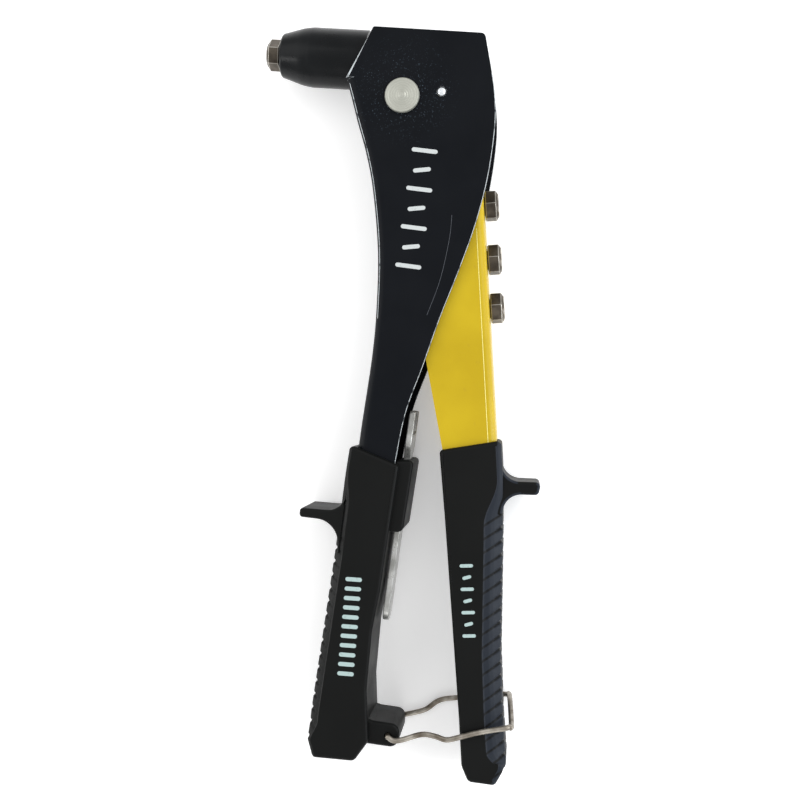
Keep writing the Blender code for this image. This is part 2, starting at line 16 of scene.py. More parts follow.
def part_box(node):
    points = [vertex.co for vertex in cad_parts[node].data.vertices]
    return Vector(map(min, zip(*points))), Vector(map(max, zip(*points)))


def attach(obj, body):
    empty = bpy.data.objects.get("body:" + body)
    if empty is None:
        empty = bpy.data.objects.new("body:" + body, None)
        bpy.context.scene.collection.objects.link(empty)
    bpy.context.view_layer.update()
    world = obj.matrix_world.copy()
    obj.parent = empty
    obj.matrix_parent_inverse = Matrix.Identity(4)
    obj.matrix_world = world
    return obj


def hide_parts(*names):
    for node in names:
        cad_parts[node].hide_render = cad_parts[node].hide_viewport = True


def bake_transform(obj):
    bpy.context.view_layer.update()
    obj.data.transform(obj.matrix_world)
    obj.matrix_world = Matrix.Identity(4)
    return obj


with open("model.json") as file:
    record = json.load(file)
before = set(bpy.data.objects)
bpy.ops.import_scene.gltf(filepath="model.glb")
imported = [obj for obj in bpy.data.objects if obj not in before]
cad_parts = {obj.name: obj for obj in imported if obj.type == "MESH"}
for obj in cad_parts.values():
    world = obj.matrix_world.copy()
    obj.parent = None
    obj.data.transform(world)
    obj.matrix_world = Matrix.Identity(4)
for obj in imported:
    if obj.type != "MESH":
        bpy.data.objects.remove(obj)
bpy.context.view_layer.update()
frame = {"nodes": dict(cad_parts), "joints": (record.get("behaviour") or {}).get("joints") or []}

MM = 0.001
GROOVE_PITCH = 5.1
GROOVE_SLOPE = 0.72
GROOVES_TOP_Y = -146.0
STOP_HOLE_R = 1.8
BAIL_HOLE_R = 1.35
NOSE_BORE_R = 1.7
SPARE_BORES_R = (1.3, 2.05, 2.5)
SPARE_Y = (-35.4, -54.9, -72.5)
NODES = frame["nodes"]
JOINTS = {joint["name"]: joint for joint in frame["joints"]}
PIVOT = Vector(JOINTS["lever_hinge"]["pos_m"])


def in_tool(point):
    """A point of the frame, in the tool's millimetres."""
    return (Vector(point) - PIVOT) / MM


def tool_box(name):
    """A node's lowest and highest corners, in the tool's millimetres."""
    return [in_tool(corner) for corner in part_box(name)]


def half_of(name):
    low, high = tool_box(name)
    return (high.z - low.z) / 2


FRAME_HALF = half_of("frame_channel")
LEVER_HALF = half_of("lever_channel")
FRAME_GRIP_HALF = half_of("frame_grip")
LEVER_GRIP_HALF = half_of("lever_grip")
SHEET = 1.8
GAP = 0.3
CLEAR = 0.35

BARREL_LOW, BARREL_HIGH = tool_box("barrel")
BARREL_R = (BARREL_HIGH.z - BARREL_LOW.z) / 2
AXIS_Y = (BARREL_HIGH.y + BARREL_LOW.y) / 2
NOSE_TIP_X = tool_box("nosepiece_fitted")[0].x
BAIL_AT = in_tool(JOINTS["bail_swing"]["pos_m"]).xy
STOP_PIN_LOW, STOP_PIN_HIGH = tool_box("stop_pin")
STOP_PIN_AT = ((STOP_PIN_LOW + STOP_PIN_HIGH) / 2).xy
PIN_HEAD_R = 6.25
PIN_R = 3.5


# Outlines


def arc(centre, radius, start, end, steps):
    """Points on an arc, with the angles in degrees."""
    turns = (radians(start + (end - start) * i / steps) for i in range(steps + 1))
    return [(centre[0] + radius * cos(a), centre[1] + radius * sin(a)) for a in turns]


def rounded(corners, step=9):
    """An outline from (x, y, radius) corners, each radius made with an arc of a point every few degrees."""
    points = []
    count = len(corners)
    for i, (x, y, radius) in enumerate(corners):
        here = Vector((x, y))
        before = (Vector(corners[i - 1][:2]) - here).normalized()
        after = (Vector(corners[(i + 1) % count][:2]) - here).normalized()
        half = before.angle(after) / 2
        if radius == 0 or half > radians(88):
            points.append((x, y))
            continue
        middle = here + (before + after).normalized() * radius / sin(half)
        first = here + before * radius * cos(half) / sin(half) - middle
        last = here + after * radius * cos(half) / sin(half) - middle
        sweep = first.angle_signed(last)
        steps = max(3, ceil(abs(degrees(sweep)) / step))
        for k in range(steps + 1):
            points.append(tuple(middle + Matrix.Rotation(-sweep * k / steps, 2) @ first))
    return points


def through(points, steps):
    """A smooth open curve through the points."""
    ends = [points[0], *points, points[-1]]
    curve = []
    for i in range(len(points) - 1):
        a, b, c, d = (Vector(p) for p in ends[i : i + 4])
        for k in range(steps):
            t = k / steps
            spot = 2 * b + (c - a) * t + (2 * a - 5 * b + 4 * c - d) * t**2 + (3 * b - a - 3 * c + d) * t**3
            curve.append(tuple(spot / 2))
    return [*curve, tuple(points[-1])]


def dense(points, spacing):
    """The closed outline with its long sides divided, so that no gap between points is over spacing."""
    fine = []
    for i, start in enumerate(points):
        a, b = Vector(start), Vector(points[(i + 1) % len(points)])
        count = max(1, ceil((b - a).length / spacing))
        fine += [a.lerp(b, k / count) for k in range(count)]
    return fine


# Solids


def prism(points, low, high, rim=0.0, rims=None, steps=5, cut=0.0, cuts=()):
    """The outline in X and Y from low to high in Z.

    The rims listed by point number, or all, are rounded. Those in cuts get a flat cut in the second material.
    """
    bm = bmesh.new()
    count = len(points)
    rings = [[bm.verts.new((x * MM, y * MM, z * MM)) for x, y in points] for z in (low, high)]
    bm.faces.new(rings[0])
    bm.faces.new(rings[1])
    for i in range(count):
        j = (i + 1) % count
        bm.faces.new((rings[0][i], rings[0][j], rings[1][j], rings[1][i]))
    bmesh.ops.recalc_face_normals(bm, faces=bm.faces)
    edges = {i: [bm.edges.get((ring[i], ring[(i + 1) % count])) for ring in rings] for i in range(count)}
    if rim:
        chosen = range(count) if rims is None else rims
        geom = [edge for i in chosen for edge in edges[i]]
        bmesh.ops.bevel(bm, geom=geom, offset=rim * MM, segments=steps, profile=0.5, affect="EDGES")
    if cut:
        geom = [edge for i in cuts for edge in edges[i]]
        bmesh.ops.bevel(bm, geom=geom, offset=cut * MM, segments=1, affect="EDGES", material=1)
    return bm


def turned(profile, sides=96):
    """The (x, radius) profile turned about the X axis; a third value "hex" makes that ring a hexagon.

    A profile that starts and ends on the axis is solid, any other closes on itself round a bore.
    """
    bm = bmesh.new()
    rings = []
    for x, radius, *shape in profile:
        ring = []
        for k in range(sides):
            a = 2 * pi * k / sides
            r = radius / cos((a % (pi / 3)) - pi / 6) if shape else radius
            ring.append(bm.verts.new((x * MM, r * cos(a) * MM, r * sin(a) * MM)))
            if radius == 0:
                ring = ring * sides
                break
        rings.append(ring)
    bored = profile[0][1] != 0
    for i in range(len(rings) if bored else len(rings) - 1):
        one, two = rings[i], rings[(i + 1) % len(rings)]
        for k in range(sides):
            n = (k + 1) % sides
            bm.faces.new(dict.fromkeys((one[k], one[n], two[n], two[k])))
    bmesh.ops.recalc_face_normals(bm, faces=bm.faces)
    return bm


def moved(bm, x=0.0, y=0.0, z=0.0):
    bmesh.ops.translate(bm, vec=(x * MM, y * MM, z * MM), verts=bm.verts)
    return bm


def spun(bm, angle, axis):
    """Turns a shape about an axis through the origin, by some degrees."""
    bmesh.ops.rotate(bm, cent=(0, 0, 0), matrix=Matrix.Rotation(radians(angle), 3, axis), verts=bm.verts)
    return bm


def across(bm, x=0.0, y=0.0):
    """Stands a piece turned about X up along Z at a place."""
    return moved(spun(bm, -90, "Y"), x, y)


def helix(radius, start, end, turns, per_turn=28):
    """Points of a coil about the barrel's axis."""
    count = turns * per_turn
    angles = (2 * pi * turns * i / count for i in range(count + 1))
    return [
        (start + (end - start) * i / count, AXIS_Y + radius * cos(a), radius * sin(a))
        for i, a in enumerate(angles)
    ]


# Pieces


def piece(name, bm, materials, body, slot, *nodes):
    """A shown piece that rides on a body, in the frame's metres."""
    bmesh.ops.translate(bm, vec=PIVOT, verts=bm.verts)
    mesh = bpy.data.meshes.new(name)
    bm.to_mesh(mesh)
    bm.free()
    for surface in materials:
        mesh.materials.append(surface)
    made = bpy.data.objects.new(name, mesh)
    bpy.context.scene.collection.objects.link(made)
    register(made, body, nodes)
    return made


def register(made, body, nodes):
    if body:
        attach(made, body)
    if nodes:
        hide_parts(*nodes)


def wire(name, points, radius, surface, body, slot, *nodes):
    """A round wire along the points, as a mesh with closed ends."""
    curve = bpy.data.curves.new(name, "CURVE")
    curve.dimensions = "3D"
    curve.bevel_depth = radius * MM
    curve.bevel_resolution = 5
    curve.use_fill_caps = True
    line = curve.splines.new("POLY")
    line.points.add(len(points) - 1)
    for spot, point in zip(line.points, points):
        spot.co = (*(PIVOT + Vector(point) * MM), 1)
    guide = bpy.data.objects.new(name + "_guide", curve)
    bpy.context.scene.collection.objects.link(guide)
    mesh = bpy.data.meshes.new_from_object(guide.evaluated_get(bpy.context.evaluated_depsgraph_get()))
    bpy.data.objects.remove(guide)
    mesh.name = name
    mesh.materials.clear()
    mesh.materials.append(surface)
    made = bpy.data.objects.new(name, mesh)
    bpy.context.scene.collection.objects.link(made)
    weld = made.modifiers.new("Weld", "WELD")
    weld.merge_threshold = 0.00001
    flatten(made)
    shade(made, 50)
    register(made, body, nodes)
    return made


def shape(made, bm, operation="DIFFERENCE"):
    """Cuts the shape out of a piece, or joins it on."""
    mesh = bpy.data.meshes.new("tool")
    bmesh.ops.translate(bm, vec=PIVOT, verts=bm.verts)
    bm.to_mesh(mesh)
    bm.free()
    mesh.materials.append(made.data.materials[0])
    tool = bpy.data.objects.new("tool", mesh)
    bpy.context.scene.collection.objects.link(tool)
    step = made.modifiers.new("Boolean", "BOOLEAN")
    step.operation = operation
    step.solver = "MANIFOLD"
    step.object = tool
    flatten(made)
    bpy.data.objects.remove(tool)


def flatten(made):
    """Applies a piece's modifiers."""
    bpy.context.view_layer.update()
    mesh = bpy.data.meshes.new_from_object(made.evaluated_get(bpy.context.evaluated_depsgraph_get()))
    made.modifiers.clear()
    made.data = mesh


def shade(made, angle=30):
    made.data.shade_smooth()
    made.data.set_sharp_from_angle(angle=radians(angle))


def edged(made, width, angle=38, material=-1, segments=2):
    """Rounds a piece's sharp edges, in its own or in another of its materials."""
    merged = made.modifiers.new("Weld", "WELD")
    merged.merge_threshold = 0.000005
    flat = made.modifiers.new("Limited", "DECIMATE")
    flat.decimate_type = "DISSOLVE"
    flat.angle_limit = radians(0.4)
    flat.delimit = {"MATERIAL", "SHARP"}
    bevel = made.modifiers.new("Bevel", "BEVEL")
    bevel.width = width * MM
    bevel.segments = segments
    bevel.limit_method = "ANGLE"
    bevel.angle_limit = radians(angle)
    bevel.material = material
    bevel.use_clamp_overlap = True
    bevel.harden_normals = False
    flatten(made)
    shade(made, 32)
    even = made.modifiers.new("Normals", "WEIGHTED_NORMAL")
    even.weight = 100
    even.keep_sharp = True
    flatten(made)


# Materials


class Surface:
    """A Principled material, and short ways to feed it from procedural textures in the piece's own space."""

    def __init__(self, name, roughness, metallic=0.0, **settings):
        self.material = bpy.data.materials.new(name)
        self.material.use_nodes = True
        self.nodes = self.material.node_tree.nodes
        self.links = self.material.node_tree.links
        self.shader = self.nodes["Principled BSDF"]
        self.shader.inputs["Roughness"].default_value = roughness
        self.shader.inputs["Metallic"].default_value = metallic
        for socket, value in settings.items():
            self.shader.inputs[socket.replace("_", " ")].default_value = value
        self.place = self.nodes.new("ShaderNodeTexCoord").outputs["Object"]
        self.normal = None

    def feed(self, socket, value):
        if isinstance(value, bpy.types.NodeSocket):
            self.links.new(value, socket)
        else:
            socket.default_value = value

    def stretched(self, scale):
        node = self.nodes.new("ShaderNodeMapping")
        self.links.new(self.place, node.inputs["Vector"])
        node.inputs["Scale"].default_value = scale
        return node.outputs["Vector"]

    def noise(self, scale, detail=3.0, stretch=None):
        """Noise with about this many waves in a metre."""
        node = self.nodes.new("ShaderNodeTexNoise")
        node.inputs["Scale"].default_value = scale
        node.inputs["Detail"].default_value = detail
        self.links.new(self.stretched(stretch) if stretch else self.place, node.inputs["Vector"])
        return node.outputs["Fac"]

    def math(self, operation, a, b=0.0):
        node = self.nodes.new("ShaderNodeMath")
        node.operation = operation
        self.feed(node.inputs[0], a)
        self.feed(node.inputs[1], b)
        return node.outputs[0]

    def between(self, value, low, high, start=0.0, end=1.0):
        """Maps low to high onto start to end, and holds it there."""
        node = self.nodes.new("ShaderNodeMapRange")
        self.feed(node.inputs["Value"], value)
        for socket, number in zip(("From Min", "From Max", "To Min", "To Max"), (low, high, start, end)):
            node.inputs[socket].default_value = number
        return node.outputs["Result"]

    def mix(self, factor, one, two):
        node = self.nodes.new("ShaderNodeMix")
        node.data_type = "RGBA"
        self.feed(node.inputs["Factor"], factor)
        self.feed(node.inputs[6], (*one, 1.0) if isinstance(one, tuple) else one)
        self.feed(node.inputs[7], (*two, 1.0) if isinstance(two, tuple) else two)
        return node.outputs[2]

    def near(self, point, radius):
        """1 at a point of the frame, falling to 0 at the radius in metres."""
        node = self.nodes.new("ShaderNodeVectorMath")
        node.operation = "DISTANCE"
        self.links.new(self.place, node.inputs[0])
        node.inputs[1].default_value = point
        return self.between(node.outputs["Value"], 0.0, radius, 1.0, 0.0)

    def groove_shade_mask(self):
        """1 along the lever grip's grooves, where painted shade darkens them, and 0 on its pads."""
        split = self.nodes.new("ShaderNodeSeparateXYZ")
        self.links.new(self.place, split.inputs["Vector"])
        x = self.math("SUBTRACT", split.outputs["X"], PIVOT.x)
        y = self.math("SUBTRACT", split.outputs["Y"], PIVOT.y)
        slanted = self.math("SUBTRACT", y, self.math("MULTIPLY", x, GROOVE_SLOPE))
        phase = self.math("PINGPONG", self.math("DIVIDE", slanted, GROOVE_PITCH * MM), 0.5)
        line = self.between(phase, 0.36, 0.44)
        below = self.between(y, GROOVES_TOP_Y * MM, (GROOVES_TOP_Y + 1.0) * MM, 1.0, 0.0)
        return self.math("MULTIPLY", line, below)

    def colour(self, value):
        self.feed(self.shader.inputs["Base Color"], value)
        return self

    def rough(self, value, low, high):
        self.feed(self.shader.inputs["Roughness"], self.between(value, 0.3, 0.7, low, high))
        return self

    def bump(self, height, depth, strength=1.0):
        """Relief of a depth in metres, on top of any before it."""
        node = self.nodes.new("ShaderNodeBump")
        node.inputs["Strength"].default_value = strength
        node.inputs["Distance"].default_value = depth
        self.links.new(height, node.inputs["Height"])
        if self.normal:
            self.links.new(self.normal, node.inputs["Normal"])
        self.normal = node.outputs["Normal"]
        self.feed(self.shader.inputs["Normal"], self.normal)
        return self


def black_paint():
    """Blue-black baked paint, with a scatter of pale dust round the pivot and a few faint smears."""
    paint = Surface("black_paint", 0.4, Specular_IOR_Level=0.1)
    broad, fine = paint.noise(60, 5), paint.noise(2600, 2)
    tone = paint.mix(broad, (0.0022, 0.0030, 0.0046), (0.0040, 0.0050, 0.0072))
    specks = paint.between(fine, 0.66, 0.72)
    dusty = paint.math("MULTIPLY", specks, paint.near(PIVOT + Vector((0, 0.002, 0.013)), 0.022))
    paint.colour(paint.mix(dusty, tone, (0.11, 0.15, 0.19)))
    paint.rough(broad, 0.36, 0.5)
    return paint.bump(paint.noise(900, 3), 0.00002).bump(fine, 0.000004).material


def edge_wear_and_highlight():
    """The paint's edge, where handling has worn it thin and bare steel shows in stretches; the same pale
    colour also stands as a painted highlight along the rims and bends.
    """
    edge = Surface("edge_wear_and_highlight", 0.42, 0.35)
    broken = edge.between(edge.noise(420, 6), 0.32, 0.46)
    edge.colour(edge.mix(broken, (0.03, 0.036, 0.045), (0.52, 0.56, 0.58)))
    return edge.bump(edge.noise(1800, 3), 0.00004).material


def yellow_paint():
    """Warm yellow enamel, a little deeper in places."""
    paint = Surface("yellow_paint", 0.36, Specular_IOR_Level=0.3)
    broad = paint.noise(38, 4)
    tone = paint.mix(paint.between(broad, 0.35, 0.65), (0.44, 0.305, 0.003), (0.50, 0.355, 0.004))
    grime = paint.between(paint.noise(240, 6), 0.66, 0.80, 0.0, 0.35)
    paint.colour(paint.mix(grime, tone, (0.34, 0.22, 0.02)))
    paint.rough(broad, 0.3, 0.44)
    return paint.bump(paint.noise(700, 3), 0.00003).material


def gloss_black():
    """The barrel's glossy black, with fine turning marks."""
    gloss = Surface("gloss_black", 0.24, Specular_IOR_Level=0.16)
    broad = gloss.noise(90, 5)
    gloss.colour(gloss.mix(broad, (0.0025, 0.003, 0.0035), (0.005, 0.006, 0.007)))
    gloss.rough(broad, 0.22, 0.36)
    return gloss.bump(gloss.noise(500, 3, (6, 1, 1)), 0.000012).material


def grip_plastic(name, tint, shaded_grooves=False):
    """Black moulded plastic with a fine leather-like grain, and painted shade darkening its grooves when
    asked for.
    """
    plastic = Surface(name, 0.46, Specular_IOR_Level=0.12)
    broad, grain = plastic.noise(45, 4), plastic.noise(3200, 2)
    tone = plastic.mix(broad, tuple(0.75 * channel for channel in tint), tint)
    if shaded_grooves:
        # Painted shade: the grooves are drawn darker than the pads.
        tone = plastic.mix(plastic.groove_shade_mask(), tone, (0.003, 0.0035, 0.004))
    plastic.colour(tone)
    plastic.rough(broad, 0.4, 0.56)
    return plastic.bump(grain, 0.000035, 0.7).bump(plastic.noise(260, 3), 0.00005, 0.5).material


def steel(name, dark, light, roughness, metallic=0.9, stretch=(1, 1, 1), streaks=900.0, depth=0.00001):
    """Bare or plated steel: its tone, its gloss and the direction of its fine scratches."""
    metal = Surface(name, roughness, metallic)
    lines = metal.noise(streaks, 4, stretch)
    stains = metal.noise(170, 5)
    metal.colour(metal.mix(metal.between(stains, 0.35, 0.65), dark, light))
    metal.rough(lines, roughness - 0.07, roughness + 0.1)
    return metal.bump(lines, depth).material


def pin_head():
    """The pivot pin's zinc head: pale, dull, with the rings that the riveting tool left."""
    metal = Surface("pin_zinc", 0.42, 0.55)
    centre = metal.nodes.new("ShaderNodeVectorMath")
    centre.operation = "DISTANCE"
    flat = metal.stretched((1, 1, 0))
    metal.links.new(flat, centre.inputs[0])
    centre.inputs[1].default_value = (PIVOT.x, PIVOT.y, 0)
    rings = metal.math("SINE", metal.math("MULTIPLY_ADD", centre.outputs["Value"], 7500.0))
    tone = metal.mix(metal.noise(220, 4), (0.36, 0.365, 0.32), (0.50, 0.505, 0.45))
    metal.colour(metal.mix(metal.between(rings, -1.0, 1.0, 0.0, 0.22), tone, (0.30, 0.30, 0.25)))
    return metal.bump(rings, 0.00003, 0.8).bump(metal.noise(1200, 4), 0.00002).material


def patchy_colour(name, tone):
    """A slightly patchy flat colour: pad-printed ink, a scratch, and a painted highlight along the lever's
    bend.
    """
    patchy = Surface(name, 0.5)
    thin = patchy.between(patchy.noise(900, 6), 0.58, 0.8, 0.0, 0.6)
    patchy.colour(patchy.mix(thin, tone, tuple(0.35 * channel for channel in tone)))
    return patchy.bump(patchy.noise(2200, 3), 0.00001).material


BLACK = black_paint()
WEAR_AND_HIGHLIGHT_EDGE = edge_wear_and_highlight()
YELLOW = yellow_paint()
GLOSS = gloss_black()
PLASTIC = grip_plastic("grip_plastic", (0.0048, 0.0052, 0.0050))
# A lighter, bluer copy of the grip plastic: a painted sheen for the shoulder's sloping faces, with painted
# shade in its grooves.
SHEEN_PLASTIC = grip_plastic("grip_plastic_painted_sheen", (0.017, 0.021, 0.029), shaded_grooves=True)
DARK_STEEL = steel("dark_steel", (0.040, 0.033, 0.026), (0.115, 0.098, 0.078), 0.36, stretch=(1, 1, 6))
# A lighter steel for the nosepieces' chamfered edges: a painted highlight along them.
EDGE_HIGHLIGHT_STEEL = steel("dark_steel_edge_highlight", (0.26, 0.24, 0.21), (0.46, 0.44, 0.40), 0.34)
PIN_ZINC = pin_head()
BRIGHT = steel("bright_steel", (0.70, 0.73, 0.76), (0.86, 0.89, 0.92), 0.3, 0.5)
ZINC = steel(
    "wrench_zinc",
    (0.36, 0.36, 0.34),
    (0.62, 0.62, 0.60),
    0.3,
    0.7,
    stretch=(6, 1, 6),
    streaks=300.0,
    depth=0.000003,
)
TURNED = steel("turned_steel", (0.40, 0.40, 0.39), (0.60, 0.60, 0.59), 0.3, stretch=(14, 1, 1), streaks=260.0)
SPRING = steel("spring_steel", (0.28, 0.27, 0.25), (0.46, 0.45, 0.43), 0.34)
WIRE = steel("bail_wire", (0.10, 0.078, 0.055), (0.42, 0.39, 0.34), 0.4, depth=0.00005, streaks=1500.0)
CAST = steel("cast_alloy", (0.07, 0.07, 0.075), (0.13, 0.13, 0.135), 0.58, 0.8, streaks=1800.0, depth=0.00008)
PALE_INK = patchy_colour("pale_ink", (0.50, 0.53, 0.53))
GREEN_INK = patchy_colour("green_ink", (0.36, 0.47, 0.46))
# Pale yellow: a painted highlight along the bend of the lever's back.
YELLOW_HIGHLIGHT = patchy_colour("painted_yellow_highlight", (0.80, 0.72, 0.22))
SCRATCH = patchy_colour("scratch", (0.045, 0.052, 0.064))


# Frame

FRAME_END_Y = -228.5
WEB = [
    (-21.2, 5.6),
    (-18.9, -0.7),
    (-15.8, -9.7),
    (-11.8, -20.5),
    (-8.6, -31.7),
    (-5.5, -47.9),
    (-3.8, -62.0),
    (-3.0, -80.0),
    (-3.2, -94.0),
    (-4.1, -108.6),
    (-5.2, -126.5),
    (-6.6, -165.0),
    (-8.6, FRAME_END_Y),
]
CHEEK_EDGE = [
    (3.0, FRAME_END_Y),
    (3.2, -205.0),
    (4.4, -180.0),
    (6.0, -160.0),
    (8.2, -138.0),
    (10.8, -114.0),
    (15.6, -96.2),
    (20.2, -78.5),
    (25.2, -62.0),
    (29.9, -44.5),
    (32.9, -27.0),
    (33.9, -9.0),
    (32.8, 3.0),
    (30.4, 13.3),
]


def frame_channel():
    """The folded channel: two cheeks and a web, open along its back, its front corner cut off at an angle."""
    web = through(WEB, 5)
    head = rounded([(*CHEEK_EDGE[-1], 0), (27.6, 24.1, 2.0), (-12.6, 24.3, 1.0), (*WEB[0], 0)])[1:-1]
    outline = web + through(CHEEK_EDGE, 5) + head
    rims = range(1, len(web) - 1)
    front_corner = [len(outline) - 1]
    bm = prism(outline, -FRAME_HALF, FRAME_HALF, rim=3.0, rims=rims, steps=7, cut=0.95, cuts=front_corner)
    made = piece("frame_shell", bm, [BLACK, WEAR_AND_HIGHLIGHT_EDGE], "frame", "black_paint", "frame_channel")
    inside = [(x + SHEET, y) for x, y in web if y < 2.0]
    hollow = [(-40, 2.5), (inside[0][0] - 0.6, 2.5), *inside]
    hollow += [(inside[-1][0], -240), (60, -240), (60, 40), (-40, 40)]
    inner = FRAME_HALF - SHEET
    shape(made, prism(hollow, -inner, inner, rim=1.3, rims=range(2, len(inside) + 1), steps=4))
    shape(made, across(turned([(-20, 0), (-20, PIN_R + GAP), (20, PIN_R + GAP), (20, 0)])))
    hole = [(-20, 0), (-20, STOP_HOLE_R), (20, STOP_HOLE_R), (20, 0)]
    shape(made, across(turned(hole, 48), *STOP_PIN_AT))
    # The sharp edges take the pale edge colour: worn paint in places, and a painted highlight along the rims.
    edged(made, 0.24, material=1)


def barrel():
    spigot, bore, mouth, wall = 8.0, 6.65, 3.8, 4.0
    front, rear, back = BARREL_LOW.x, BARREL_LOW.x + 32.6, BARREL_HIGH.x
    nose = [(5.7, 0), (7.3, 0.25), (7.95, 0.8), (8.2, 1.5), (8.9, 3.8), (9.6, 6.1), (10.3, 8.6)]
    nose = through([*nose, (BARREL_R, 12.0)], 6)
    profile = [(front, mouth), (front, nose[0][0] - 0.5)] + [(front + x, r) for r, x in nose]
    profile += [(rear - 0.3, BARREL_R), (rear, BARREL_R - 0.3), (rear, spigot), (back, spigot), (back, bore)]
    profile += [(front + wall, bore), (front + wall, mouth)]
    bm = moved(turned(profile, 128), y=AXIS_Y)
    made = piece("barrel_turned", bm, [GLOSS], "frame", "gloss_black", "barrel")
    shade(made, 35)


def nosepiece(bore, hex_r=5.0, length=5.0, shank=3.5):
    """A nosepiece along +X with its hexagon's inner face at 0: chamfered corners, a lipped tip and a bore."""
    profile = [
        (length - 0.25, bore + 0.25),
        (length, bore + 0.5),
        (length, hex_r - 1.0),
        (length - 0.12, hex_r - 0.7),
        (length - 1.0, hex_r, "hex"),
        (0.35, hex_r, "hex"),
        (0, hex_r - 0.35, "hex"),
        (0, shank),
        (-4.4, shank),
        (-4.9, 2.7),
        (-7.0, 2.7),
        (-7.9, bore + 0.3),
        (-7.9, bore),
    ]
    return turned(profile, 72)


def nosepieces():
    """The fitted nosepiece and the three spares along the lever's back."""
    bm = moved(spun(spun(nosepiece(NOSE_BORE_R), -15, "X"), 180, "Z"), NOSE_TIP_X + 5.0, AXIS_Y)
    made = piece("nosepiece_in_use", bm, [DARK_STEEL, EDGE_HIGHLIGHT_STEEL], "frame", "dark_steel", "nosepiece_fitted")
    # The chamfers take the lighter steel, a painted highlight.
    edged(made, 0.16, 24, 1)
    for i, bore in enumerate(SPARE_BORES_R, 1):
        bm = spun(moved(spun(nosepiece(bore), 30 - 3 * i, "X"), GAP), back_lean(), "Z")
        bm = moved(bm, *spare_at(i))
        metals = [DARK_STEEL, EDGE_HIGHLIGHT_STEEL]
        made = piece(f"spare_nosepiece_{i}", bm, metals, "lever", "dark_steel", f"nosepiece_spare_{i}")
        # The chamfers take the lighter steel, a painted highlight.
        edged(made, 0.16, 24, 1)


def back_line():
    """The upper and lower end of the lever's straight back."""
    return Vector(LEVER_BACK[0]), Vector(LEVER_BACK[1])


def back_lean():
    """How far the lever's back leans from -Y, in degrees."""
    top, low = back_line()
    return degrees((low - top).angle_signed(Vector((0, -1))))


def spare_at(number):
    """Where a spare nosepiece's axis meets the lever's back."""
    y = SPARE_Y[number - 1]
    top, low = back_line()
    return top.x + (low.x - top.x) * (y - top.y) / (low.y - top.y), y


def pins():
    """The pivot pin's flat head, with a raised rim, rings and a small centre, and the stop pin's dome."""
    low, high = tool_box("pivot_pin")
    face, top = FRAME_HALF + GAP, high.z
    pin = [(low.z, 0), (low.z, PIN_R), (face, PIN_R), (face, PIN_HEAD_R - 0.1), (face + 0.2, PIN_HEAD_R)]
    crown = [(top - 0.65, PIN_HEAD_R), (top - 0.32, PIN_HEAD_R - 0.25), (top - 0.28, PIN_HEAD_R - 0.6)]
    crown += [(top - 0.42, PIN_HEAD_R - 1.0), (top - 0.38, 3.9), (top - 0.3, 2.6), (top - 0.36, 1.9)]
    crown += [(top - 0.12, 1.3), (top - 0.02, 0.7), (top, 0)]
    bm = across(turned(pin + crown, 96))
    made = piece("pivot_rivet", bm, [PIN_ZINC], "frame", "zinc_steel", "pivot_pin")
    shade(made, 40)
    end = STOP_PIN_HIGH.z
    radius = (STOP_PIN_HIGH.x - STOP_PIN_LOW.x) / 2
    dome = [(-end, 0), (-end, radius * 0.7), (-end + 0.35, radius), (end - 0.5, radius)]
    dome += [(end - 0.2, radius * 0.85), (end - 0.05, radius * 0.5), (end, 0)]
    bm = across(turned(dome, 48), *STOP_PIN_AT)
    made = piece("stop_rivet", bm, [BRIGHT], "frame", "bright_steel", "stop_pin")
    shade(made, 45)


# Lever

LEVER_END_Y = -232.0
LEVER_BACK = [
    (30.7, -26.0),
    (44.3, -121.5),
    (46.2, -148.0),
    (48.7, -191.0),
    (50.6, -221.0),
    (51.0, LEVER_END_Y),
]
LEVER_FRONT = [
    (43.2, LEVER_END_Y),
    (42.4, -221.0),
    (38.4, -193.0),
    (31.6, -150.0),
    (25.5, -126.2),
    (16.6, -94.0),
    (-3.5, -32.0),
]
ARM_REACH = 15.3
ARM_TILT = 20.0
ARM_TIP_R = 2.5


def lever_outline():
    """The cheek from the fork arm's tip, round the pivot lobe and down the handle."""
    along = Vector((sin(radians(ARM_TILT)), cos(radians(ARM_TILT))))
    beside = Vector((along.y, -along.x))
    points = [tuple(along * 11.5 - beside * 2.9)]
    points += arc(along * ARM_REACH, ARM_TIP_R, 195 - ARM_TILT, -35 - ARM_TILT, 24)
    points += [tuple(along * 11.0 + beside * 1.3), tuple(along * 8.6 + beside * 1.3)]
    points += [tuple(along * 6.6 + beside * 4.2)]
    points += arc((0, 0), 19.5, 27, -46, 18)
    points += [(26.0, -19.0), *LEVER_BACK, *LEVER_FRONT]
    points += arc((0, 0), 8.2, 222, 136, 14)
    return points


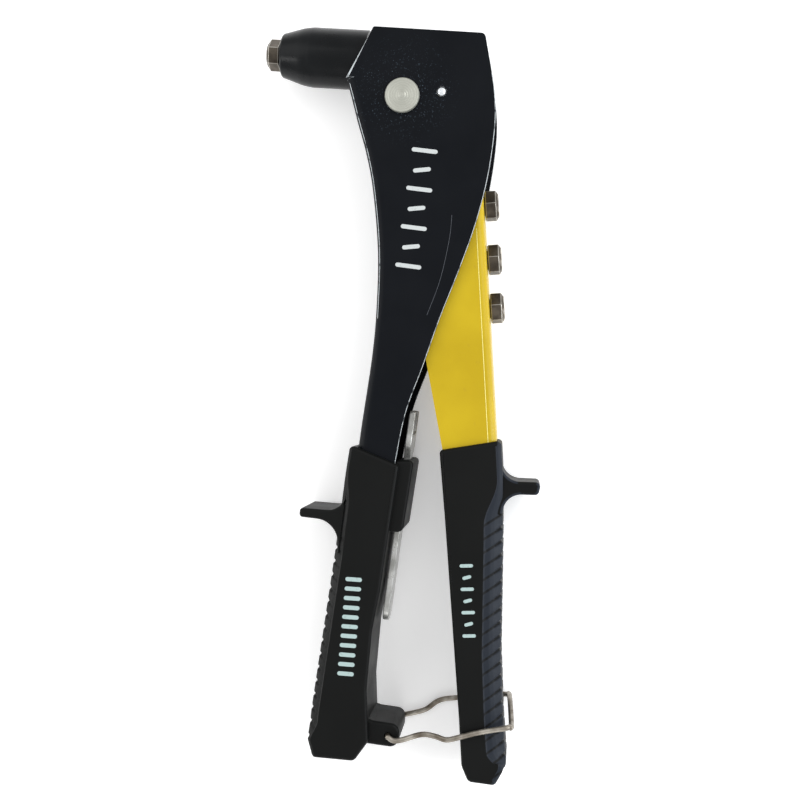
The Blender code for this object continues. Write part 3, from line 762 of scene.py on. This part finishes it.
def lever_channel():
    """The folded lever, its back bent to a wide radius, with a seat for each spare nosepiece."""
    outline = lever_outline()
    back = outline.index(LEVER_BACK[0])
    rims = range(back, back + len(LEVER_BACK) - 1)
    bm = prism(outline, -LEVER_HALF, LEVER_HALF, rim=2.8, rims=rims, steps=8)
    made = piece("lever_shell", bm, [YELLOW], "lever", "yellow_paint", "lever_channel")
    inside = [(x - SHEET, y) for x, y in LEVER_BACK]
    hollow = [(60, 40), (60, -25.0), (inside[0][0] + 0.2, -25.0), *inside[:-1]]
    hollow += [(inside[-1][0], -250.0), (-40, -250), (-40, 40)]
    inner = LEVER_HALF - SHEET
    shape(made, prism(hollow, -inner, inner, rim=1.1, rims=range(3, 2 + len(inside)), steps=4))
    shape(made, across(turned([(-20, 0), (-20, PIN_R + GAP), (20, PIN_R + GAP), (20, 0)])))
    reach = STOP_PIN_AT.length
    room = 1.85
    slot = arc((0, 0), reach + room, -40.2, 18.8, 24) + arc((0, 0), reach - room, 18.8, -40.2, 24)
    shape(made, prism(slot, -20, 20))
    for number in (1, 2, 3):
        seat = turned([(-4, 0), (-4, 3.8), (4, 3.8), (4, 0)], 48)
        shape(made, moved(spun(seat, back_lean(), "Z"), *spare_at(number)))
    edged(made, 0.22)


# Grips

# How a grip's section runs from its side wall to its flat face, on plain sides and on each grip's shoulder.
# Each pair is the way in from the outline and the drop below the face.
PLAIN = [(0, 1.5), (0.04, 1.12), (0.14, 0.8), (0.3, 0.52), (0.5, 0.32), (0.75, 0.15), (1.02, 0.05), (1.3, 0)]
LEVER_SHOULDER = [
    (0, 5.0),
    (0.35, 4.2),
    (1.4, 3.3),
    (3.0, 2.0),
    (4.4, 1.25),
    (5.8, 0.85),
    (6.3, 0.7),
    (6.8, 0),
]
FRAME_SHOULDER = [(0, 3.5), (0.3, 2.9), (0.9, 2.2), (1.8, 1.4), (2.6, 0.8), (3.0, 0.5), (3.3, 0)]
LEVELS = 32
GROOVE_DEPTH = 0.55
MOUTH_FADE = (-150.0, -134.0)


def along_path(path, t):
    """The point at a share t of the path's length."""
    spots = [Vector(p) for p in path]
    lengths = [(b - a).length for a, b in zip(spots, spots[1:])]
    left = t * sum(lengths)
    for start, end, length in zip(spots, spots[1:], lengths):
        if left <= length:
            return start.lerp(end, left / length)
        left -= length
    return spots[-1]


def smooth(value, low, high):
    t = min(1.0, max(0.0, (value - low) / (high - low)))
    return t * t * (3 - 2 * t)


def groove(x, y, side):
    """How deep the diagonal grooves are at a place, from 0 on a pad to 1 in a groove."""
    place = ((y - side * GROOVE_SLOPE * x) / GROOVE_PITCH) % 1.0
    return 1 - smooth(abs(place - 0.5), 0.07, 0.17)


def grip_body(outline, half, side, shoulder, top, end):
    """A grip lofted from its outline.

    Its side at +X or -X has a sloping shoulder, with grooves from top to end.
    """
    points = dense(outline, 0.55)
    count = len(points)
    rows = []
    for i, point in enumerate(points):
        tangent = points[(i + 2) % count] - points[i - 2]
        out = Vector((tangent.y, -tangent.x)).normalized()
        facing = smooth(out.x * side, 0.75, 0.97)
        grooved = facing * smooth(point.y, end, end + 3) * (1 - smooth(point.y, top - 3, top))
        full = smooth(point.y, end, end + 8) * (1 - smooth(point.y, *MOUTH_FADE))
        row = []
        for k in range(LEVELS):
            t = k / (LEVELS - 1)
            plain, sloped = along_path(PLAIN, t), along_path(shoulder, t)
            sloped = sloped * (0.3 + 0.7 * full)
            way = plain.lerp(sloped, facing)
            place = point - out * way.x
            fade = 1 - smooth(t, 0.78, 0.9)
            cut = GROOVE_DEPTH * grooved * groove(place.x, place.y, side) * fade
            place = place - out * cut * (1 - 0.6 * smooth(t, 0.1, 0.5))
            row.append((place.x, place.y, half - way.y - 0.8 * cut * (1 - 0.7 * smooth(t, 0.3, 0.55))))
        rows.append(row)
    area = sum(a.x * b.y - b.x * a.y for a, b in zip(points, points[1:] + points[:1]))
    assert area > 0, "the outline runs anticlockwise"
    bm = bmesh.new()
    levels = list(zip(*rows))
    rings = [[bm.verts.new((x * MM, y * MM, -z * MM)) for x, y, z in level] for level in levels[::-1]]
    rings += [[bm.verts.new((x * MM, y * MM, z * MM)) for x, y, z in level] for level in levels]
    for one, two in zip(rings, rings[1:]):
        for i in range(count):
            j = (i + 1) % count
            bm.faces.new((one[i], one[j], two[j], two[i]))
    bm.faces.new(rings[0][::-1])
    bm.faces.new(rings[-1])
    bmesh.ops.recalc_face_normals(bm, faces=bm.faces)
    return bm


def socket(left, right, half, end, bend, back):
    """The space for a handle, from its left and right edges as they run down to its end.

    Its corners are rounded on the side where the handle is bent, which is the right one at its back.
    """
    one = [(x - CLEAR, y) for x, y in left[:-1]] + [(left[-1][0] - CLEAR, end - GAP)]
    two = [(x + CLEAR, y) for x, y in right[:-1]] + [(right[-1][0] + CLEAR, end - GAP)]
    rims = range(len(one), len(one) + len(two) - 1) if back else range(len(one) - 1)
    return prism(one + two[::-1], -half - GAP, half + GAP, rim=bend, rims=rims, steps=6)


WRENCH_AT = (11.9, -112.0)
WRENCH_TILT = 2.8
WRENCH_THICK = 2.3


def beside_grip(bm):
    """Tilts a piece drawn below the origin along -Y to the wrench's place beside the grip."""
    return moved(spun(bm, -WRENCH_TILT, "Z"), *WRENCH_AT)


def frame_grip():
    """The fixed handle's grip, with its finger guard, the wrench's clip and the bail's boss."""
    outline = rounded(
        [
            (10.4, -131.8, 1.2),
            (-7.8, -126.0, 1.5),
            (-9.3, -146.0, 30),
            (-10.3, -165.0, 30),
            (-11.4, -182.0, 60),
            (-14.0, -223.0, 60),
            (-14.1, -233.0, 4.0),
            (-11.7, -239.6, 1.5),
            (3.4, -239.2, 2.5),
            (8.0, -231.5, 3.5),
            (5.8, -213.0, 14.0),
            (5.9, -192.0, 12.0),
            (7.6, -177.0, 30),
            (9.0, -153.0, 30),
        ],
        4,
    )
    half = FRAME_GRIP_HALF
    bm = grip_body(outline, half, -1, FRAME_SHOULDER, -158.0, -234.0)
    made = piece("frame_grip_moulding", bm, [PLASTIC], "frame", "grip_plastic", "frame_grip")
    guard = [(-7, -141.5, 0), (-7.6, -141.5, 0), (-8.8, -150.2, 6.5), (-24.2, -150.4, 1.2)]
    guard += [(-24.2, -153.7, 1.2), (-9.6, -154.0, 8.5), (-9.4, -165.5, 0), (-8, -165.5, 0)]
    shape(made, prism(rounded(guard, 6), 1.2 - half, half - 1.2, rim=0.8, steps=3), "UNION")
    clip = rounded([(5, -130.9, 0), (15.4, -129.6, 1.6), (13.6, -156.0, 2.4), (5, -156.0, 0)], 6)
    shape(made, prism(clip, -12.4, 12.4, rim=1.1, steps=3), "UNION")
    boss = [(2, -223.0, 0), (9, -224.6, 2.0), (18.6, -224.9, 3.2), (18.6, -233.4, 3.2), (2, -233.0, 0)]
    shape(made, prism(rounded(boss, 6), -12.2, 12.2, rim=1.2, steps=3), "UNION")
    left = [p for p in WEB if p[1] < -100]
    right = [p for p in CHEEK_EDGE[::-1] if p[1] < -100]
    shape(made, socket(left, right, FRAME_HALF, FRAME_END_Y, 3.0, False))
    corners = [(-CLEAR, -12), (-CLEAR, -60), (WRENCH_THICK + CLEAR, -60), (WRENCH_THICK + CLEAR, -12)]
    shape(made, beside_grip(prism(corners, -5.7 - CLEAR, 5.7 + CLEAR)))
    for side in (-1, 1):
        hole = [(side * 6.5, 0), (side * 6.5, BAIL_HOLE_R), (side * 20, BAIL_HOLE_R), (side * 20, 0)]
        shape(made, across(turned(hole, 32), *BAIL_AT))
    edged(made, 0.3, 42)


def lever_grip():
    outline = rounded(
        [
            (24.1, -125.2, 1.5),
            (28.3, -150.0, 60),
            (33.2, -181.0, 60),
            (39.4, -220.0, 40),
            (41.8, -237.0, 3.0),
            (44.6, -242.5, 2.5),
            (54.3, -242.7, 2.0),
            (57.7, -235.0, 3.0),
            (55.2, -219.0, 40),
            (52.4, -196.0, 60),
            (49.6, -156.0, 60),
            (47.6, -133.0, 30),
            (45.8, -119.8, 1.5),
        ],
        4,
    )
    half = LEVER_GRIP_HALF
    bm = grip_body(outline, half, 1, LEVER_SHOULDER, GROOVES_TOP_Y, -238.0)
    made = piece("lever_grip_moulding", bm, [PLASTIC, SHEEN_PLASTIC], "lever", "grip_plastic", "lever_grip")
    guard = [(46.5, -146.5, 0), (48.5, -146.5, 0), (48.9, -138.9, 6.5), (60.7, -138.1, 1.6)]
    guard += [(61.3, -133.4, 1.6), (47.4, -134.2, 6.8), (46.3, -125.8, 0), (44.8, -125.8, 0)]
    shape(made, prism(rounded(guard, 6), 2.2 - half, half - 2.2, rim=0.9, steps=3), "UNION")
    left = [p for p in LEVER_FRONT[::-1] if p[1] < -90]
    right = [(43.6, -112.0)] + [p for p in LEVER_BACK if p[1] < -90]
    shape(made, socket(left, right, LEVER_HALF, LEVER_END_Y, 2.8, True))
    edged(made, 0.3, 42)
    # Painted sheen: the shoulder's sloping faces take the lighter, bluer plastic.
    paint_shoulder_sheen(made, 1)


def paint_shoulder_sheen(made, side):
    """Gives the sloping faces of the shoulder the second plastic, lighter and bluer: a painted sheen where
    they face the light from the right.
    """
    for face in made.data.polygons:
        if 0.2 < abs(face.normal.z) < 0.9995 and face.normal.x * side > 0.02:
            face.material_index = 1


# Prints, wear and painted highlights


def bar(x, y, length, width, turn, z):
    """A plain bar of print with round ends, its middle at x, y and its length at an angle to X."""
    reach = length / 2 - width / 2
    outline = arc((reach, 0), width / 2, -90, 90, 8) + arc((-reach, 0), width / 2, 90, 270, 8)
    return moved(spun(prism(outline, z - 0.03, z + 0.04), turn, "Z"), x, y)


def joined(shapes):
    """One mesh of separate shapes."""
    whole = bmesh.new()
    for bm in shapes:
        mesh = bpy.data.meshes.new("part")
        bm.to_mesh(mesh)
        bm.free()
        whole.from_mesh(mesh)
        bpy.data.meshes.remove(mesh)
    return whole


def marks_wear_and_highlights():
    """Plain bars stand where a maker would print a mark. They spell nothing. Thin wires add a scratch, worn
    edges and painted highlights along the bends.
    """
    start, end = Vector((9.7, -19.0)), Vector((7.4, -60.5))
    cheek = []
    for i in range(7):
        x, y = start.lerp(end, i / 6)
        cheek.append(bar(x, y, 9.4 if i % 2 == 0 else 6.4, 1.5, -3 + (12 if i % 2 else 0), FRAME_HALF))
    piece("cheek_print", joined(cheek), [PALE_INK], "frame", "black_paint")
    grip = [bar(-2.2, -174.0 - 3.4 * k, 6.0, 1.5, 2, FRAME_GRIP_HALF) for k in range(11)]
    piece("frame_grip_print", joined(grip), [GREEN_INK], "frame", "grip_plastic")
    start, end = Vector((37.4, -165.4)), Vector((40.6, -190.2))
    lever = []
    for i in range(7):
        x, y = start.lerp(end, i / 6)
        lever.append(bar(x, y, 4.8 if i % 2 == 0 else 3.2, 1.2, 7 + (14 if i % 2 else 0), LEVER_GRIP_HALF))
    piece("lever_grip_print", joined(lever), [GREEN_INK], "lever", "grip_plastic")
    scratch = through([(21.4, -41.2, 0), (21.2, -50.2, 0), (19.2, -64.6, 0), (15.6, -77.4, 0)], 8)
    flat = [(x, y, FRAME_HALF - 0.06) for x, y, _ in scratch]
    # A painted highlight: a thin pale wire along the bend of the web.
    bend = [(x + 0.9, y, FRAME_HALF - 0.86) for x, y in through(WEB[:8], 5)]
    wire("web_bend_highlight", bend[2:], 0.11, WEAR_AND_HIGHLIGHT_EDGE, "frame", "black_paint")
    # Along the cheek's rim, a pale wire: thin worn paint, and a painted highlight on the rolled edge.
    rim = [(x - 0.12, y, FRAME_HALF - 0.13) for x, y in through(CHEEK_EDGE, 5)[20:-2]]
    wire("cheek_rim_highlight_and_wear", rim, 0.15, WEAR_AND_HIGHLIGHT_EDGE, "frame", "black_paint")
    cut = [Vector((-12.9, 23.3)).lerp((-20.4, 6.6), k / 12) for k in range(13)]
    cut = [(x + 0.35, y, FRAME_HALF - 0.42) for x, y in cut]
    wire("head_cut_wear", cut, 0.42, WEAR_AND_HIGHLIGHT_EDGE, "frame", "black_paint")
    # A painted highlight: a thin pale yellow wire along the bend of the lever's back.
    top, low = back_line()
    line = [top.lerp(low, k / 10) for k in range(2, 11)]
    bend_highlight_line = [(spot.x - 3.0, spot.y, LEVER_HALF - 0.07) for spot in line]
    wire("lever_bend_highlight", bend_highlight_line, 0.14, YELLOW_HIGHLIGHT, "lever", "yellow_paint")
    wire("cheek_scratch", flat, 0.1, SCRATCH, "frame", "black_paint")


# Wrench, bail and springs


def wrench():
    """The stamped wrench stands on edge: an open jaw, shoulders, and a plain shank with a round end."""
    jaw, head, shank, length = 4.95, 8.2, 5.7, 78.0
    half = [(0.6, jaw + 1.1, 1.0), (0, head - 1.2, 1.2), (-12.5, head, 3.0), (-17.5, shank, 3.0)]
    half += [(-length, shank, 5.0)]
    other = [(y, -z, r) for y, z, r in half[::-1]]
    mouth = [(-0.3, -jaw, 0.5), (-9.0, -jaw, 2.2), (-9.0, jaw, 2.2), (-0.3, jaw, 0.5)]
    face = [(min(y, 0.0), z, r) for y, z, r in half[1:] + other[:-1] + mouth]
    bm = prism(rounded(face, 6), 0.0, WRENCH_THICK)
    turn = Matrix(((0, 0, 1, 0), (1, 0, 0, 0), (0, 1, 0, 0), (0, 0, 0, 1)))
    bmesh.ops.transform(bm, matrix=turn, verts=bm.verts)
    made = piece("wrench_stamped", beside_grip(bm), [ZINC, ZINC], "wrench", "zinc_steel", "wrench")
    edged(made, 0.4, segments=3)


# The bail's two legs differ, so that its loop is a little skewed. Their points are measured from its pivot.
BAIL_SIDE_Z = 13.9
UPPER_LEG = [(2.4, -0.9), (5.6, -0.2), (12.2, 2.5), (17.0, 2.4)]
UPPER_LEG += [(21.2, 1.6), (25.8, 3.1), (31.4, 5.2), (37.0, 6.9)]
LOWER_LEG = [(3.4, 1.0), (7.1, 2.2), (11.4, 4.0), (15.0, 7.2)]
LOWER_LEG += [(17.8, 8.6), (22.2, 9.6), (30.0, 11.2), (36.0, 12.4)]
UPPER_END = (43.7, 8.7)
LOWER_END = (42.4, 13.4)


def bail_leg(points, end, side):
    """One leg, from inside its boss hole to the start of the crossbar."""
    leg = [(0.0, 0.0, side * 6.9), (0.0, 0.0, side * (BAIL_SIDE_Z - 1.2))]
    leg += [(0.5, -0.1, side * (BAIL_SIDE_Z - 0.3))]
    leg += [(x, y, side * BAIL_SIDE_Z) for x, y in points]
    near_end = Vector(points[-1]).lerp(Vector(end), 0.62)
    leg += [(*near_end, side * BAIL_SIDE_Z), (*near_end.lerp(Vector(end), 0.7), side * (BAIL_SIDE_Z - 0.9))]
    return leg + [(*end, side * (BAIL_SIDE_Z - 3.0))]


def bail():
    route = bail_leg(LOWER_LEG, LOWER_END, -1) + bail_leg(UPPER_LEG, UPPER_END, 1)[::-1]
    smooth_route = through([(BAIL_AT.x + x, BAIL_AT.y + y, z) for x, y, z in route], 5)
    wire("bail_wire_loop", smooth_route, 0.98, WIRE, "bail", "bail_wire", "bail")


def springs():
    """The coils, drawn between the pieces that hold their ends: the jaw spring rides on the jaw pusher, the
    return spring on no body.
    """
    plate, seat = tool_box("pull_plate")[1].x, tool_box("rear_seat")[0].x
    coil = helix(5.9, plate + 1.25, seat - 0.95, 6)
    made = wire("return_spring_coil", coil, 0.65, SPRING, None, "bright_steel", "return_spring")
    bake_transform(made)
    low, high = tool_box("jaw_spring")
    coil = helix(4.1, low.x + 0.35, high.x - 0.35, 5)
    wire("jaw_spring_coil", coil, 0.35, SPRING, "jaw_pusher", "bright_steel", "jaw_spring")


def inner_pieces():
    """The model's own turned and cut pieces keep their shapes and get their real metals."""
    metals = {
        TURNED: ["jaw_case", "pull_tube", "jaw_pusher", "rear_seat", "pivot_spacer"],
        SPRING: ["jaw_lock_nut", "pull_plate"],
        DARK_STEEL: ["jaw_1", "jaw_2", "jaw_3"],
        CAST: ["head_block"],
        PIN_ZINC: ["pivot_collar"],
    }
    for metal, names in metals.items():
        for name in names:
            node = NODES[name]
            node.data.materials.clear()
            node.data.materials.append(metal)


# Stage


def stage():
    """A plain pale floor under soft light from all round, brighter from the upper right."""
    bpy.ops.mesh.primitive_plane_add(size=12.0, location=(0, 0, -0.0003))
    floor = bpy.context.object
    floor.name = "floor"
    pale = Surface("pale_floor", 0.85)
    pale.colour(pale.mix(pale.noise(3, 2), (0.90, 0.90, 0.90), (0.93, 0.93, 0.93)))
    pale.shader.inputs["Emission Color"].default_value = (1, 1, 1, 1)
    pale.shader.inputs["Emission Strength"].default_value = 0.3
    floor.data.materials.append(pale.material)


def light(name, place, target, width, height, power, colour=(1, 1, 1)):
    lamp = bpy.data.lights.new(name, "AREA")
    lamp.shape = "RECTANGLE"
    lamp.size, lamp.size_y = width, height
    lamp.energy = power
    lamp.color = colour
    made = bpy.data.objects.new(name, lamp)
    made.location = place
    made.rotation_euler = (Vector(target) - Vector(place)).to_track_quat("-Z", "Y").to_euler()
    bpy.context.scene.collection.objects.link(made)


def lights():
    light("key", (0.5, 0.45, 0.6), (0, 0, 0), 0.5, 0.5, 3.2)
    light("fill", (-0.55, 0.3, 0.6), (0, 0, 0), 0.6, 0.6, 1.4)
    light("low", (0.1, -0.75, 0.5), (0, -0.02, 0), 0.6, 0.4, 1.0)
    light("right_strip", (0.6, -0.05, 0.22), (0, -0.05, 0.01), 0.12, 0.6, 2.6, (0.9, 0.95, 1.0))
    light("left_strip", (-0.6, -0.1, 0.16), (0, -0.05, 0.01), 0.1, 0.6, 1.8)
    world = bpy.data.worlds.new("soft_world")
    bpy.context.scene.world = world
    world.use_nodes = True
    world.node_tree.nodes["Background"].inputs["Color"].default_value = (1, 1, 1, 1)
    world.node_tree.nodes["Background"].inputs["Strength"].default_value = 0.72


def camera():
    """Straight over the handles, a little to the right of them, with a slight tilt and roll."""
    data = bpy.data.cameras.new("camera")
    data.lens = 51.9
    data.clip_start = 0.01
    made = bpy.data.objects.new("camera", data)
    made.location = PIVOT + Vector((51.76, -103.5, 423.85)) * MM
    made.rotation_euler = (radians(-0.175), radians(6.032), radians(4.990))
    bpy.context.scene.collection.objects.link(made)
    bpy.context.scene.camera = made


bpy.context.scene.view_settings.view_transform = "Standard"
camera()
frame_channel()
barrel()
nosepieces()
pins()
lever_channel()
frame_grip()
lever_grip()
marks_wear_and_highlights()
wrench()
bail()
springs()
inner_pieces()
stage()
lights()
